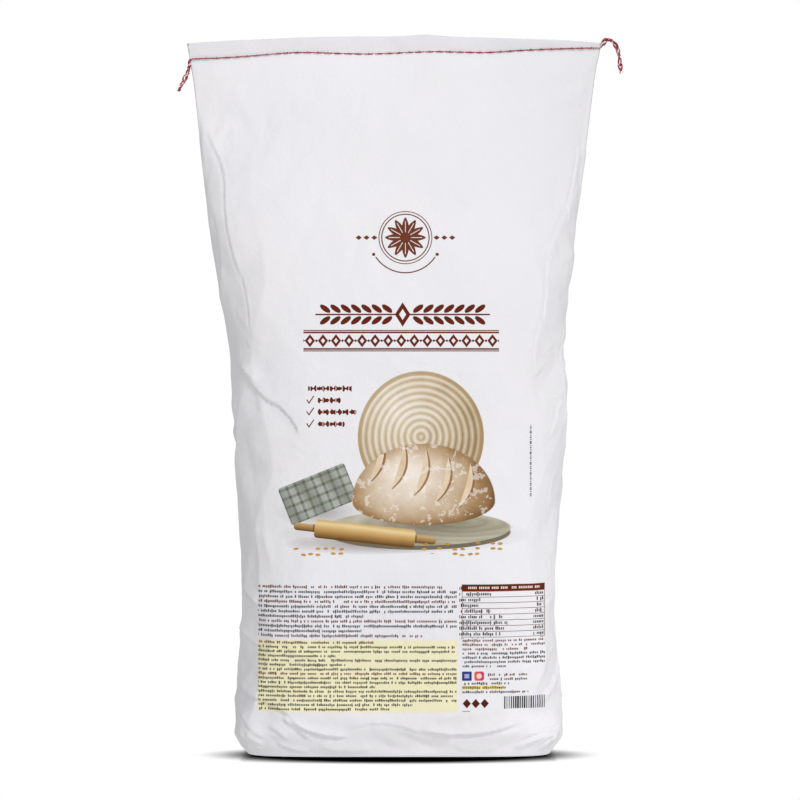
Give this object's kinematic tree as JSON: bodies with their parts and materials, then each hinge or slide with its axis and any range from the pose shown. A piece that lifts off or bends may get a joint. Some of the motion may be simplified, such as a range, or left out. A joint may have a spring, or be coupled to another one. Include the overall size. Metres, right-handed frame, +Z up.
{
  "type": "paper sack of dried sourdough",
  "caption": "Tall white paper sack of dried sourdough, filled and standing on its flat base, sewn shut across the top with a red and white thread.",
  "frame": {"origin": "on the floor, below the middle of the sack", "axes": "+Z up the sack towards its sewn mouth, +X to the right as seen from the printed front, the front faces -Y"},
  "size_m": [0.3268, 0.1206, 0.5229],
  "materials": {
    "paper": "matte white kraft paper with a smooth printed front",
    "thread": "twisted cotton, one red and one white strand"
  },
  "bodies": {
    "root": {"sack": "paper", "seam_thread": "thread"}
  },
  "joints": []
}
